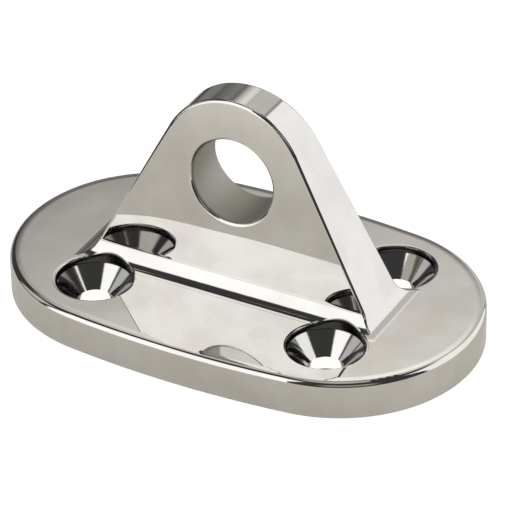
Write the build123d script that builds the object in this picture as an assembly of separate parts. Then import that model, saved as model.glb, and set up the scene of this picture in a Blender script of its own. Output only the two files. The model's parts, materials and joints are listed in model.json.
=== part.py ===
from build123d import *
import math
import os

# A pad eye: a polished oval base plate with an upright tapered eye lug, for shackling a line or a
# block to a deck. Millimetres. The origin is the middle of the seating face, +X runs along the
# plate and the lug, +Z is up, and the eye is bored along Y.

# Base plate: an oval of four tangent arcs, tight at the ends and nearly straight along the sides.
PLATE_LENGTH = 80.0
PLATE_WIDTH = 48.4
PLATE_THICKNESS = 6.6
PLATE_END_RADIUS = 23.2
PLATE_SEAT_BREAK = 0.25

# Polishing has rolled the plate's top off towards its edge: a shallow arc, then a tight round that
# runs down into the side.
ROLL_OFF_WIDTH = 1.8
ROLL_OFF_RADIUS = 12.0
PLATE_TOP_ROUND = 1.0

# Holes for four M5 countersunk screws, each with a short land between its cone and its rounded rim.
HOLE_SPACING_X = 41.4
HOLE_SPACING_Y = 24.6
HOLE_DIAMETER = 5.8
SINK_DIAMETER = 12.2
SINK_LAND = 1.0
SINK_ANGLE = 90.0
SINK_RIM_ROUND = 0.6

# Eye lug: straight flanks that lean in to a round crown, and faces that taper towards the crown.
LUG_HEIGHT = 39.8
CROWN_RADIUS = 12.7
FLANK_LEAN = 27.8
LUG_FOOT_THICKNESS = 10.9
LUG_FACE_TAPER = 4.0
LUG_EDGE_ROUND = 0.5
EYE_DIAMETER = 14.2
EYE_HEIGHT = 25.8
EYE_RIM_ROUND = 0.6

# The lug's tenon stands in a slot through the plate. A root weld, run into a bevelled groove and
# ground flush with the seating face, closes the slot below it.
TENON_LENGTH = 34.0
TENON_THICKNESS = 6.0
ROOT_WELD_DEPTH = 1.8
ROOT_WELD_BEVEL_ANGLE = 35.0

# The weld round the foot is ground and polished to one concave fillet.
FOOT_FILLET_RADIUS = 3.0

# Spare length that lets a cutter pass clear of the piece it cuts, and how near counts as touching.
OVERSHOOT = 1.0
TOUCH = 0.01


def oval_face():
    """The plate's plan: two end arcs and two side arcs, tangent where they meet."""
    half_length = PLATE_LENGTH / 2
    half_width = PLATE_WIDTH / 2
    end_centre = half_length - PLATE_END_RADIUS
    side_radius = (end_centre**2 + half_width**2 - PLATE_END_RADIUS**2) / (
        2 * (half_width - PLATE_END_RADIUS)
    )
    turn = math.atan2(side_radius - half_width, end_centre)
    join_x = end_centre + PLATE_END_RADIUS * math.cos(turn)
    join_y = PLATE_END_RADIUS * math.sin(turn)
    right = ThreePointArc((join_x, -join_y), (half_length, 0), (join_x, join_y))
    back = ThreePointArc((join_x, join_y), (0, half_width), (-join_x, join_y))
    left = ThreePointArc((-join_x, join_y), (-half_length, 0), (-join_x, -join_y))
    front = ThreePointArc((-join_x, -join_y), (0, -half_width), (join_x, -join_y))
    return make_face(Curve() + [right, back, left, front])


def rim_cutter():
    """Swept round the oval: what the plate's top loses to the roll-off and the round."""
    edge_x = PLATE_LENGTH / 2
    roll_x = edge_x - ROLL_OFF_WIDTH
    roll_z = PLATE_THICKNESS - ROLL_OFF_RADIUS
    round_x = edge_x - PLATE_TOP_ROUND
    tilt = math.asin((round_x - roll_x) / (ROLL_OFF_RADIUS - PLATE_TOP_ROUND))
    round_z = roll_z + (ROLL_OFF_RADIUS - PLATE_TOP_ROUND) * math.cos(tilt)
    turn = math.degrees(tilt)
    roll = CenterArc((roll_x, roll_z), ROLL_OFF_RADIUS, 90, -turn)
    tight = CenterArc((round_x, round_z), PLATE_TOP_ROUND, 90 - turn, turn - 90)
    clear_x = edge_x + OVERSHOOT
    clear_z = PLATE_THICKNESS + OVERSHOOT
    outside = [(clear_x, round_z), (clear_x, clear_z), (roll_x, clear_z)]
    rest = Polyline([(edge_x, round_z)] + outside + [(roll_x, PLATE_THICKNESS)])
    profile = Plane.XZ * make_face(Curve() + [roll, tight, rest])
    return sweep(profile, path=oval_face().wires()[0])


def plate_blank():
    """The plate before drilling, with its top edge rolled off and its seating edge just broken."""
    blank = extrude(oval_face(), PLATE_THICKNESS) - rim_cutter()
    return chamfer(blank.edges().group_by(Axis.Z)[0], PLATE_SEAT_BREAK)


def lug_outline():
    """The lug seen along Y: a crown arc, with a flank tangent to it on each side."""
    lean = math.radians(FLANK_LEAN)
    shoulder_x = CROWN_RADIUS * math.cos(lean)
    shoulder_z = LUG_HEIGHT - CROWN_RADIUS + CROWN_RADIUS * math.sin(lean)
    foot_x = shoulder_x + (shoulder_z - PLATE_THICKNESS) * math.tan(lean)
    crown = ThreePointArc((shoulder_x, shoulder_z), (0, LUG_HEIGHT), (-shoulder_x, shoulder_z))
    left = Line((-shoulder_x, shoulder_z), (-foot_x, PLATE_THICKNESS))
    foot = Line((-foot_x, PLATE_THICKNESS), (foot_x, PLATE_THICKNESS))
    right = Line((foot_x, PLATE_THICKNESS), (shoulder_x, shoulder_z))
    return make_face(Curve() + [crown, left, foot, right])


def lug_section():
    """The lug seen along X: a trapezoid, thinner at the crown than at the foot."""
    half_foot = LUG_FOOT_THICKNESS / 2
    half_crown = half_foot - (LUG_HEIGHT - PLATE_THICKNESS) * math.tan(math.radians(LUG_FACE_TAPER))
    foot = [(-half_foot, PLATE_THICKNESS), (half_foot, PLATE_THICKNESS)]
    crown = [(half_crown, LUG_HEIGHT), (-half_crown, LUG_HEIGHT)]
    return make_face(Polyline(foot + crown, close=True))


def lug_blank():
    """The lug from the plate's top up, with sharp edges and no eye."""
    seen_along_y = extrude(Plane.XZ * lug_outline(), PLATE_WIDTH / 2, both=True)
    seen_along_x = extrude(Plane.YZ * lug_section(), PLATE_LENGTH / 2, both=True)
    return seen_along_y & seen_along_x


def broad_faces(solid):
    """The lug's two large flat faces, front and back."""
    upright = solid.faces().filter_by(lambda face: abs(face.normal_at().Y) > 0.9)
    return upright.sort_by(SortBy.AREA)[-2:]


def hole_cutter():
    """One screw hole: straight at the bottom, then a cone for the screw's head, then a land."""
    hole_radius = HOLE_DIAMETER / 2
    sink_radius = SINK_DIAMETER / 2
    cone_top = PLATE_THICKNESS - SINK_LAND
    cone_foot = cone_top - (sink_radius - hole_radius) / math.tan(math.radians(SINK_ANGLE / 2))
    above = PLATE_THICKNESS + FOOT_FILLET_RADIUS + OVERSHOOT
    straight = [(0, -OVERSHOOT), (hole_radius, -OVERSHOOT), (hole_radius, cone_foot)]
    sink = [(sink_radius, cone_top), (sink_radius, above), (0, above)]
    profile = make_face(Polyline(straight + sink, close=True))
    return revolve(Plane.XZ * profile, Axis.Z)


def is_on_sink_wall(edge):
    """Whether an edge runs along the upright wall of one of the four countersinks."""
    for place in GridLocations(HOLE_SPACING_X, HOLE_SPACING_Y, 2, 2):
        axis = place.position
        points = [edge.position_at(share) for share in (0, 0.5, 1)]
        reaches = [math.hypot(point.X - axis.X, point.Y - axis.Y) for point in points]
        if all(abs(reach - SINK_DIAMETER / 2) < TOUCH for reach in reaches):
            return True
    return False


def join_and_dress(plate, lug):
    """The plate and the lug as one body: filleted at the foot, bored and drilled, every edge rounded."""
    body = plate + lug
    foot_edges = body.edges().filter_by_position(Axis.Z, PLATE_THICKNESS, PLATE_THICKNESS)
    body = fillet(foot_edges.filter_by(GeomType.LINE), FOOT_FILLET_RADIUS)

    outline = [edge for face in broad_faces(body) for edge in face.outer_wire().edges()]
    fillet_top = PLATE_THICKNESS + FOOT_FILLET_RADIUS
    body = fillet([edge for edge in outline if edge.center().Z > fillet_top], LUG_EDGE_ROUND)

    body -= Pos(0, 0, EYE_HEIGHT) * Rot(90, 0, 0) * Cylinder(EYE_DIAMETER / 2, PLATE_WIDTH)
    eye_rims = [edge for face in broad_faces(body) for edge in face.inner_wires()[0].edges()]
    body = fillet(eye_rims, EYE_RIM_ROUND)

    for place in GridLocations(HOLE_SPACING_X, HOLE_SPACING_Y, 2, 2):
        body -= place * hole_cutter()
    sink_rims = [
        edge
        for edge in body.edges()
        if edge.bounding_box().min.Z > PLATE_THICKNESS - TOUCH and is_on_sink_wall(edge)
    ]
    return fillet(sink_rims, SINK_RIM_ROUND)


def tenon():
    """The tongue under the lug that stands in the plate's slot, down to the root weld."""
    tongue = Rectangle(TENON_LENGTH, TENON_THICKNESS)
    return Pos(0, 0, ROOT_WELD_DEPTH) * extrude(tongue, PLATE_THICKNESS - ROOT_WELD_DEPTH)


def root_weld():
    """The weld below the tenon: it fills a bevelled groove and is flush with the seating face."""
    bevel = ROOT_WELD_DEPTH * math.tan(math.radians(ROOT_WELD_BEVEL_ANGLE))
    mouth = Rectangle(TENON_LENGTH + 2 * bevel, TENON_THICKNESS + 2 * bevel)
    return extrude(mouth, ROOT_WELD_DEPTH, taper=ROOT_WELD_BEVEL_ANGLE)


plate = plate_blank()
lug = lug_blank()
pad_eye = join_and_dress(plate, lug)
root = root_weld()

os.makedirs("parts", exist_ok=True)
export_step((pad_eye & plate) - tenon() - root, "parts/base_plate.step")
export_step((pad_eye & lug) + tenon(), "parts/eye_lug.step")
export_step(pad_eye - plate - lug, "parts/foot_fillet_weld.step")
export_step(root, "parts/root_weld.step")
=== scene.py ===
import json
import math
import bpy
from mathutils import Matrix, Vector


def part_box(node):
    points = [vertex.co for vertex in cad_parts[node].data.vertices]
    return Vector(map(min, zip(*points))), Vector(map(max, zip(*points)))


# A mirror-polished stainless steel pad eye on a white table, in soft studio light. Metres.
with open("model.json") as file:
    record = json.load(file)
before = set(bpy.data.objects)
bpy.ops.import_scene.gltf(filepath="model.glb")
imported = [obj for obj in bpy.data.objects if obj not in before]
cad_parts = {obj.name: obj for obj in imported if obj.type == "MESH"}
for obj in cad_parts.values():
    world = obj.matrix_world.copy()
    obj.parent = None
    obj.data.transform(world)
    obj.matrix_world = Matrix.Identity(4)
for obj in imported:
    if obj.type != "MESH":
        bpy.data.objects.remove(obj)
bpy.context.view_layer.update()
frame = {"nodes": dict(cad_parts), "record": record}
MM = 0.001

# The camera looks down from the front right. Its aim is a point of the table.
CAMERA_AZIMUTH = 28.8
CAMERA_ELEVATION = 33.25
CAMERA_ROLL = -0.93
CAMERA_DISTANCE = 640 * MM
CAMERA_LENS_MM = 276.6
CAMERA_SENSOR_MM = 36
CAMERA_CLIP = (10 * MM, 50000 * MM)
CAMERA_AIM = Vector((-5.94, 13.95, 0)) * MM

# The studio: softboxes in a dark room. Where two overlap, the brighter one shows. Each has a name, the
# azimuth and elevation of its middle, its half width and half height, how softly its sides and its
# ends fade, all in degrees, then its radiance and its colour.
BLACK = (0, 0, 0)
WHITE = (1, 1, 1)
WARM = (1, 0.975, 0.92)
SOFTBOXES = [
    ("front_left", (-33, 24), (24, 34), (5, 5), 1.22, WHITE),
    ("right", (131, 20), (37.5, 36), (4, 8), 1.0, WHITE),
    ("back_middle", (-176, 24), (14, 30), (8, 8), 0.54, WARM),
    ("back_left", (-154, 43.5), (9.5, 10.5), (15, 15), 1.1, WARM),
    ("back_low", (-158, 12), (18, 18), (14, 16), 0.2, WARM),
    ("back_upper", (-155, 58), (40, 13), (12, 8), 0.55, WARM),
    ("back_left_low", (-130, 0), (20, 10), (20, 12), 0.17, WARM),
    ("front_right", (34, 28), (20, 10), (14, 10), 0.35, WARM),
    ("left", (-78, 25), (13, 18), (6, 10), 0.5, WHITE),
    ("ceiling", (0, 90), (181, 14), (1, 8), 0.5, WHITE),
]
ROOM_RADIANCE = 0.045

# The table is a disc. It looks white. Mirrors see it as grey, brighter towards the front, and white
# inside the screw holes, where the glow starts and ends at shares of a hole's radius. It lies just
# below the seating face.
TABLE_RADIUS = 115 * MM
TABLE_SIDES = 96
TABLE_GAP = 0.02 * MM
TABLE_COLOUR = (0.75, 0.73, 0.67, 1)
TABLE_SEEN_GLOW = 0.93
TABLE_NEAR_GLOW = 0.24
TABLE_FRONT_GLOW = 0.42
TABLE_FRONT_START = -50 * MM
TABLE_FRONT_END = -90 * MM
TABLE_HOLE_GLOW = 1.3
TABLE_HOLE_START = 0.95
TABLE_HOLE_END = 0.8
TABLE_TINT = (1, 0.97, 0.88, 1)

# Places on the object that its materials follow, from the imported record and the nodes' boxes. Neither
# holds the countersinks' radius, so that repeats the CAD model's.
mounts = {mount["name"]: mount for mount in frame["record"]["mounts"]}
EYE_HEIGHT = mounts["eye_bore"]["pos_m"][2]
EYE_RADIUS = mounts["eye_bore"]["dims"]["r_mm"] * MM
HOLE_X = mounts["screw_holes"]["dims"]["spacing_x_mm"] / 2 * MM
HOLE_Y = mounts["screw_holes"]["dims"]["spacing_y_mm"] / 2 * MM
HOLE_RADIUS = mounts["screw_holes"]["dims"]["hole_r_mm"] * MM
SINK_RADIUS = 6.1 * MM
FOOT_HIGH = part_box("foot_fillet_weld")[1]
LUG_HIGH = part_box("eye_lug")[1]

# Steel: what it mirrors in red, green and blue. The land's colour is no steel's but a painted shade,
# near black.
BRIGHT_STEEL = (0.80, 0.79, 0.772, 1)
DULL_STEEL = (0.70, 0.68, 0.65, 1)
WARM_STEEL = (0.77, 0.74, 0.71, 1)
MACHINED_STEEL = (0.50, 0.485, 0.44, 1)
SINK_STEEL = (0.76, 0.75, 0.73, 1)
# Painted shade: a near-black colour for the countersinks' upright land, darker than any steel mirrors.
LAND_PAINTED_SHADE = (0.05, 0.047, 0.044, 1)
HEAT_TINT = (0.62, 0.50, 0.34, 1)

# How rough each finish is.
WARM_ROUGHNESS = 0.03
HAZE_ROUGHNESS = 0.075
SINK_ROUGHNESS = 0.09
FOOT_END_ROUGHNESS = 0.16
SCRATCH_ROUGHNESS = 0.16
WEAR_ROUGHNESS = 0.17
LAND_ROUGHNESS = 0.2
TINT_ROUGHNESS = 0.3
SEAT_ROUGHNESS = 0.32
GRINDING_ROUGHNESS = 0.34
BORE_ROUGHNESS = 0.6

# How wide the patches, scratches and waves of the finish are, and how deep its relief is.
WARM_PATCH = 6 * MM
HAZE_PATCH = 10 * MM
TINT_PATCH = 5 * MM
WEAR_PATCH = 1.6 * MM
BUFFING_WIDTH = 0.12 * MM
BUFFING_DEPTH = 0.0003 * MM
GRINDING_WIDTH = 0.1 * MM
GRINDING_DEPTH = 0.004 * MM
WAVE_WIDTH = 14 * MM
WAVE_DEPTH = 0.03 * MM
BEAD_RIPPLE_WIDTH = 3 * MM
BEAD_RIPPLE_DEPTH = 0.012 * MM

# Wear shows on edges that are tighter than this radius: none where the cosine between the face and the
# edge's mean direction is at the first number, and all of it at the second.
WEAR_RADIUS = 0.35 * MM
WEAR_COSINES = (0.995, 0.90)


def toward(azimuth, elevation):
    """The direction at an azimuth and elevation in degrees: azimuth 0 is the front, 90 the right."""
    turn = math.radians(azimuth)
    rise = math.radians(elevation)
    level = math.cos(rise)
    return Vector((math.sin(turn) * level, -math.cos(turn) * level, math.sin(rise)))


def make_camera():
    """A long lens, so that near and far parts of the object look nearly the same size."""
    back = toward(CAMERA_AZIMUTH, CAMERA_ELEVATION)
    data = bpy.data.cameras.new("camera")
    data.lens = CAMERA_LENS_MM
    data.sensor_width = CAMERA_SENSOR_MM
    data.clip_start, data.clip_end = CAMERA_CLIP
    camera = bpy.data.objects.new("camera", data)
    bpy.context.scene.collection.objects.link(camera)
    upright = (-back).to_track_quat("-Z", "Y").to_matrix()
    roll = Matrix.Rotation(math.radians(CAMERA_ROLL), 3, "Z")
    place = Matrix.Translation(CAMERA_AIM + back * CAMERA_DISTANCE)
    camera.matrix_world = place @ (upright @ roll).to_4x4()
    bpy.context.scene.camera = camera


class Nodes:
    """Short ways to add nodes to one node tree and to link them."""

    def __init__(self, tree):
        self.tree = tree

    def add(self, kind, **settings):
        node = self.tree.nodes.new("ShaderNode" + kind)
        for name, value in settings.items():
            setattr(node, name, value)
        return node

    def put(self, value, socket):
        """Links an output, or sets a plain value, to an input socket."""
        if isinstance(value, bpy.types.NodeSocket):
            self.tree.links.new(value, socket)
        else:
            socket.default_value = value

    def math(self, operation, *values):
        node = self.add("Math", operation=operation)
        for value, socket in zip(values, node.inputs):
            self.put(value, socket)
        return node.outputs[0]

    def ramp(self, value, start, end, low=0.0, high=1.0):
        """low at start and high at end, with a smooth way between them."""
        node = self.add("MapRange", interpolation_type="SMOOTHSTEP")
        self.put(value, node.inputs["Value"])
        node.inputs["From Min"].default_value = start
        node.inputs["From Max"].default_value = end
        node.inputs["To Min"].default_value = low
        node.inputs["To Max"].default_value = high
        return node.outputs["Result"]

    def axes(self, vector):
        node = self.add("SeparateXYZ")
        self.put(vector, node.inputs[0])
        return node.outputs

    def reach(self, first, second):
        """The distance from the origin of a plane to the point with these two coordinates."""
        squares = [self.math("MULTIPLY", value, value) for value in (first, second)]
        return self.math("SQRT", self.math("ADD", *squares))

    def mix(self, share, first, second):
        """A colour between two."""
        node = self.add("Mix", data_type="RGBA")
        self.put(share, node.inputs["Factor"])
        self.put(first, node.inputs["A"])
        self.put(second, node.inputs["B"])
        return node.outputs["Result"]

    def noise(self, place, size, stretch=(1, 1, 1), detail=2.0, rough=0.5):
        """Noise with blobs about as wide as size in metres, drawn out along any axis by its stretch."""
        spread = self.add("Mapping")
        self.put(place, spread.inputs["Vector"])
        spread.inputs["Scale"].default_value = [1 / (size * by) for by in stretch]
        node = self.add("TexNoise")
        self.put(spread.outputs[0], node.inputs["Vector"])
        node.inputs["Scale"].default_value = 1.0
        node.inputs["Detail"].default_value = detail
        node.inputs["Roughness"].default_value = rough
        return node.outputs["Fac"]

    def bump(self, height, depth, normal=None):
        """Relief whose height goes from 0 to 1, depth metres deep."""
        node = self.add("Bump")
        node.inputs["Strength"].default_value = 1.0
        node.inputs["Distance"].default_value = depth
        self.put(height, node.inputs["Height"])
        if normal:
            self.put(normal, node.inputs["Normal"])
        return node.outputs["Normal"]


def softbox(nodes, direction, middle, half, fade, radiance, colour):
    """One softbox as a coloured pattern over the directions of the world."""
    azimuth, elevation = middle
    turned = nodes.add("VectorRotate", rotation_type="Z_AXIS")
    nodes.put(direction, turned.inputs["Vector"])
    turned.inputs["Angle"].default_value = -math.radians(azimuth)
    x, y, z = nodes.axes(turned.outputs[0])
    aside = nodes.math("DEGREES", nodes.math("ARCTAN2", x, nodes.math("MULTIPLY", y, -1.0)))
    above = nodes.math("DEGREES", nodes.math("ARCSINE", z))
    off_side = nodes.math("ABSOLUTE", aside)
    off_height = nodes.math("ABSOLUTE", nodes.math("SUBTRACT", above, float(elevation)))
    across = nodes.ramp(off_side, half[0] + fade[0] / 2, half[0] - fade[0] / 2)
    up = nodes.ramp(off_height, half[1] + fade[1] / 2, half[1] - fade[1] / 2)
    light = nodes.add("VectorMath", operation="SCALE")
    light.inputs[0].default_value = [radiance * part for part in colour]
    nodes.put(nodes.math("MULTIPLY", across, up), light.inputs["Scale"])
    return light.outputs[0]


def make_world():
    """The studio as the steel mirrors it, and plain white where the camera sees past the table."""
    world = bpy.data.worlds.new("studio")
    bpy.context.scene.world = world
    world.use_nodes = True
    world.node_tree.nodes.clear()
    nodes = Nodes(world.node_tree)
    direction = nodes.add("TexCoord").outputs["Generated"]
    brightest = BLACK
    for name, *shape in SOFTBOXES:
        pair = nodes.add("VectorMath", operation="MAXIMUM", label=name)
        nodes.put(brightest, pair.inputs[0])
        nodes.put(softbox(nodes, direction, *shape), pair.inputs[1])
        brightest = pair.outputs[0]
    lit = nodes.add("VectorMath", operation="ADD")
    nodes.put(brightest, lit.inputs[0])
    lit.inputs[1].default_value = [ROOM_RADIANCE] * 3
    room = nodes.add("Background")
    nodes.put(lit.outputs[0], room.inputs["Color"])
    backdrop = nodes.add("Background")
    backdrop.inputs["Color"].default_value = (1, 1, 1, 1)
    pick = nodes.add("MixShader")
    nodes.put(nodes.add("LightPath").outputs["Is Camera Ray"], pick.inputs[0])
    nodes.put(room.outputs[0], pick.inputs[1])
    nodes.put(backdrop.outputs[0], pick.inputs[2])
    out = nodes.add("OutputWorld")
    nodes.put(pick.outputs[0], out.inputs["Surface"])


def hole_reach(nodes, x, y):
    """How far a point is from the axis of the nearest of the four screw holes."""
    along = nodes.math("SUBTRACT", nodes.math("ABSOLUTE", x), HOLE_X)
    across = nodes.math("SUBTRACT", nodes.math("ABSOLUTE", y), HOLE_Y)
    return nodes.reach(along, across)


def table_material():
    """A diffuse table with a glow, which is one strength to the camera and another to the mirrors."""
    material = bpy.data.materials.new("white_table")
    material.use_nodes = True
    material.node_tree.nodes.clear()
    nodes = Nodes(material.node_tree)
    x, y = nodes.axes(nodes.add("TexCoord").outputs["Object"])[:2]
    diffuse = nodes.add("BsdfDiffuse")
    diffuse.inputs["Color"].default_value = TABLE_COLOUR
    seen = nodes.add("Emission")
    seen.inputs["Strength"].default_value = TABLE_SEEN_GLOW
    mirrored = nodes.add("Emission")
    mirrored.inputs["Color"].default_value = TABLE_TINT
    reach = hole_reach(nodes, x, y)
    glow = nodes.ramp(y, TABLE_FRONT_START, TABLE_FRONT_END, TABLE_NEAR_GLOW, TABLE_FRONT_GLOW)
    dark_from = HOLE_RADIUS * TABLE_HOLE_START
    white_within = HOLE_RADIUS * TABLE_HOLE_END
    hole_glow = nodes.ramp(reach, dark_from, white_within, 0.0, TABLE_HOLE_GLOW)
    nodes.put(nodes.math("MAXIMUM", glow, hole_glow), mirrored.inputs["Strength"])
    pick = nodes.add("MixShader")
    nodes.put(nodes.add("LightPath").outputs["Is Camera Ray"], pick.inputs[0])
    nodes.put(mirrored.outputs[0], pick.inputs[1])
    nodes.put(seen.outputs[0], pick.inputs[2])
    both = nodes.add("AddShader")
    nodes.put(diffuse.outputs[0], both.inputs[0])
    nodes.put(pick.outputs[0], both.inputs[1])
    out = nodes.add("OutputMaterial")
    nodes.put(both.outputs[0], out.inputs["Surface"])
    return material


def make_table():
    """A flat disc of one face, which is not one of the object's CAD nodes."""
    turns = [2 * math.pi * step / TABLE_SIDES for step in range(TABLE_SIDES)]
    rim = [(TABLE_RADIUS * math.cos(turn), TABLE_RADIUS * math.sin(turn), -TABLE_GAP) for turn in turns]
    mesh = bpy.data.meshes.new("table")
    mesh.from_pydata(rim, [], [range(TABLE_SIDES)])
    table = bpy.data.objects.new("table", mesh)
    bpy.context.scene.collection.objects.link(table)
    table.data.materials.append(table_material())


class Steel(Nodes):
    """A stainless steel material: layers of colour and roughness that masks mix, then relief."""

    def __init__(self, name):
        self.material = bpy.data.materials.new(name)
        self.material.use_nodes = True
        super().__init__(self.material.node_tree)
        self.shader = self.tree.nodes["Principled BSDF"]
        self.shader.inputs["Metallic"].default_value = 1.0
        self.place = self.add("TexCoord").outputs["Object"]
        self.x, self.y, self.z = self.axes(self.place)
        self.colour = BRIGHT_STEEL
        self.roughness = 0.0
        self.normal = None

    def layer(self, mask, colour, roughness):
        """Covers what is there with a colour and a roughness, where the mask is 1."""
        self.colour = self.mix(mask, self.colour, colour)
        keep = self.math("MULTIPLY", self.roughness, self.math("SUBTRACT", 1.0, mask))
        self.roughness = self.math("ADD", keep, self.math("MULTIPLY", mask, roughness))

    def relief(self, height, depth):
        self.normal = self.bump(height, depth, self.normal)

    def wear_edges(self, where):
        """Dulls the tight edges in patches, where the mask is 1."""
        rounded = self.add("Bevel", samples=4)
        rounded.inputs["Radius"].default_value = WEAR_RADIUS
        dot = self.add("VectorMath", operation="DOT_PRODUCT")
        self.put(rounded.outputs[0], dot.inputs[0])
        self.put(self.add("NewGeometry").outputs["Normal"], dot.inputs[1])
        bent = self.ramp(dot.outputs["Value"], *WEAR_COSINES)
        broken = self.ramp(self.noise(self.place, WEAR_PATCH, detail=4.0), 0.35, 0.62)
        worn = self.math("MULTIPLY", self.math("MULTIPLY", bent, broken), where)
        self.layer(worn, DULL_STEEL, WEAR_ROUGHNESS)

    def polish(self, grain):
        """A mirror polish: warm and hazy patches, fine buffing scratches along the grain, gentle waves.

        Noise is mostly between 0.3 and 0.7, so each ramp sets how much of the steel its layer covers.
        """
        warmth = self.ramp(self.noise(self.place, WARM_PATCH, detail=5.0, rough=0.6), 0.42, 0.64)
        self.layer(self.math("MULTIPLY", warmth, 0.75), WARM_STEEL, WARM_ROUGHNESS)
        haze = self.ramp(self.noise(self.place, HAZE_PATCH, detail=4.0), 0.42, 0.70)
        self.layer(self.math("MULTIPLY", haze, 0.7), DULL_STEEL, HAZE_ROUGHNESS)
        buffing = self.noise(self.place, BUFFING_WIDTH, stretch=grain, detail=3.0)
        self.layer(self.ramp(buffing, 0.60, 0.78, 0.0, 0.5), DULL_STEEL, SCRATCH_ROUGHNESS)
        self.relief(self.noise(self.place, WAVE_WIDTH, detail=1.0), WAVE_DEPTH)
        self.relief(buffing, BUFFING_DEPTH)

    def finish(self):
        self.put(self.colour, self.shader.inputs["Base Color"])
        self.put(self.roughness, self.shader.inputs["Roughness"])
        self.put(self.normal, self.shader.inputs["Normal"])
        return self.material


def machine_sinks(steel):
    """Turned countersinks: duller than the polish, with a painted shade, near black, on the upright
    land.
    """
    reach = hole_reach(steel, steel.x, steel.y)
    # The first mask fades out over the rounded rim, and the second picks the wall just inside it, where
    # the shade is painted.
    inside = steel.ramp(reach, SINK_RADIUS + 0.30 * MM, SINK_RADIUS + 0.05 * MM)
    land_shade_mask = steel.ramp(reach, SINK_RADIUS - 0.12 * MM, SINK_RADIUS - 0.03 * MM)
    steel.layer(inside, SINK_STEEL, SINK_ROUGHNESS)
    # Painted shade: the land is coloured near black.
    steel.layer(steel.math("MULTIPLY", inside, land_shade_mask), LAND_PAINTED_SHADE, LAND_ROUGHNESS)


def plate_steel():
    """Polished on top and round the rim, satin on the seating face."""
    steel = Steel("polished_plate")
    steel.polish(grain=(60, 1, 1))
    past_end = steel.math("SUBTRACT", steel.math("ABSOLUTE", steel.x), FOOT_HIGH.x)
    past_side = steel.math("SUBTRACT", steel.math("ABSOLUTE", steel.y), FOOT_HIGH.y)
    off_weld = steel.ramp(steel.math("MAXIMUM", past_end, past_side), 0.2 * MM, 0.8 * MM)
    steel.wear_edges(off_weld)
    machine_sinks(steel)
    seat = steel.ramp(steel.z, 0.3 * MM, 0.1 * MM)
    steel.layer(seat, MACHINED_STEEL, SEAT_ROUGHNESS)
    return steel.finish()


def lug_steel():
    """Polished all over but in the eye's bore, which is left satin from the drill."""
    steel = Steel("polished_lug")
    steel.polish(grain=(1, 1, 60))
    off_weld = steel.ramp(steel.z, FOOT_HIGH.z + 0.5 * MM, FOOT_HIGH.z + 1.5 * MM)
    steel.wear_edges(off_weld)
    rise = steel.math("SUBTRACT", steel.z, EYE_HEIGHT)
    reach = steel.reach(steel.x, rise)
    bore = steel.ramp(reach, EYE_RADIUS + 0.25 * MM, EYE_RADIUS + 0.05 * MM)
    steel.layer(bore, MACHINED_STEEL, BORE_ROUGHNESS)
    return steel.finish()


def foot_weld_steel():
    """Polished like its neighbours, with a ground bead's slight ripple, and softer at its two ends."""
    steel = Steel("polished_weld")
    steel.polish(grain=(40, 1, 1))
    steel.relief(steel.noise(steel.place, BEAD_RIPPLE_WIDTH, detail=2.0), BEAD_RIPPLE_DEPTH)
    past_lug = steel.math("SUBTRACT", steel.math("ABSOLUTE", steel.x), LUG_HIGH.x)
    steel.layer(steel.ramp(past_lug, -1.5 * MM, 0.0), BRIGHT_STEEL, FOOT_END_ROUGHNESS)
    machine_sinks(steel)
    return steel.finish()


def root_weld_steel():
    """Ground flush and left satin, with patches of straw-coloured heat tint."""
    steel = Steel("ground_weld")
    steel.polish(grain=(1, 60, 1))
    grinding = steel.noise(steel.place, GRINDING_WIDTH, stretch=(1, 80, 1), detail=4.0)
    steel.layer(steel.ramp(grinding, 0.2, 0.8, 0.75, 1.0), MACHINED_STEEL, GRINDING_ROUGHNESS)
    tint = steel.ramp(steel.noise(steel.place, TINT_PATCH, detail=3.0), 0.45, 0.75, 0.0, 0.4)
    steel.layer(tint, HEAT_TINT, TINT_ROUGHNESS)
    steel.relief(grinding, GRINDING_DEPTH)
    return steel.finish()


def dress(node_name, material):
    """Gives a CAD node one material all over."""
    slots = frame["nodes"][node_name].data.materials
    slots.clear()
    slots.append(material)


make_camera()
make_world()
make_table()
dress("base_plate", plate_steel())
dress("eye_lug", lug_steel())
dress("foot_fillet_weld", foot_weld_steel())
dress("root_weld", root_weld_steel())
bpy.context.scene.view_settings.view_transform = "Standard"
